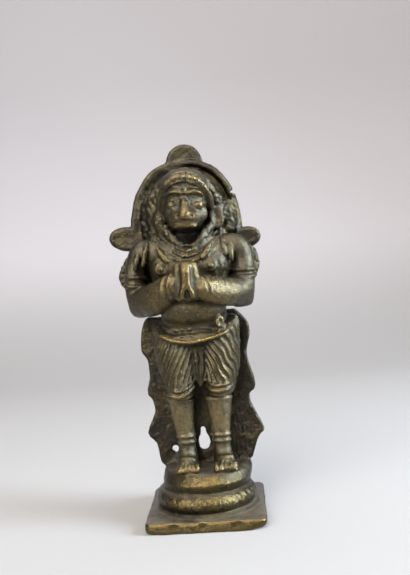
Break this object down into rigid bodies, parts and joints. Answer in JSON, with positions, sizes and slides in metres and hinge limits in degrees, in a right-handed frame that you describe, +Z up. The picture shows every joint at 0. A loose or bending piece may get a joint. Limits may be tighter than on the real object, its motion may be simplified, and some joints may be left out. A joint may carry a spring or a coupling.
{
  "type": "hanuman figure",
  "caption": "Small cast brass figure of a standing monkey-faced attendant with joined hands, an oval halo, a back sheet and a round base on a square plinth.",
  "frame": {"origin": "middle of the square plinth's underside", "axes": "+Z up, the figure faces -Y, +X to the viewer's right when facing it"},
  "size_m": [0.0386, 0.0294, 0.0926],
  "materials": {
    "brass": "old solid brass, dark brown-green patina in the hollows, rubbed bright on the high points"
  },
  "bodies": {
    "root": {"hanuman_figure": "brass"}
  },
  "joints": []
}
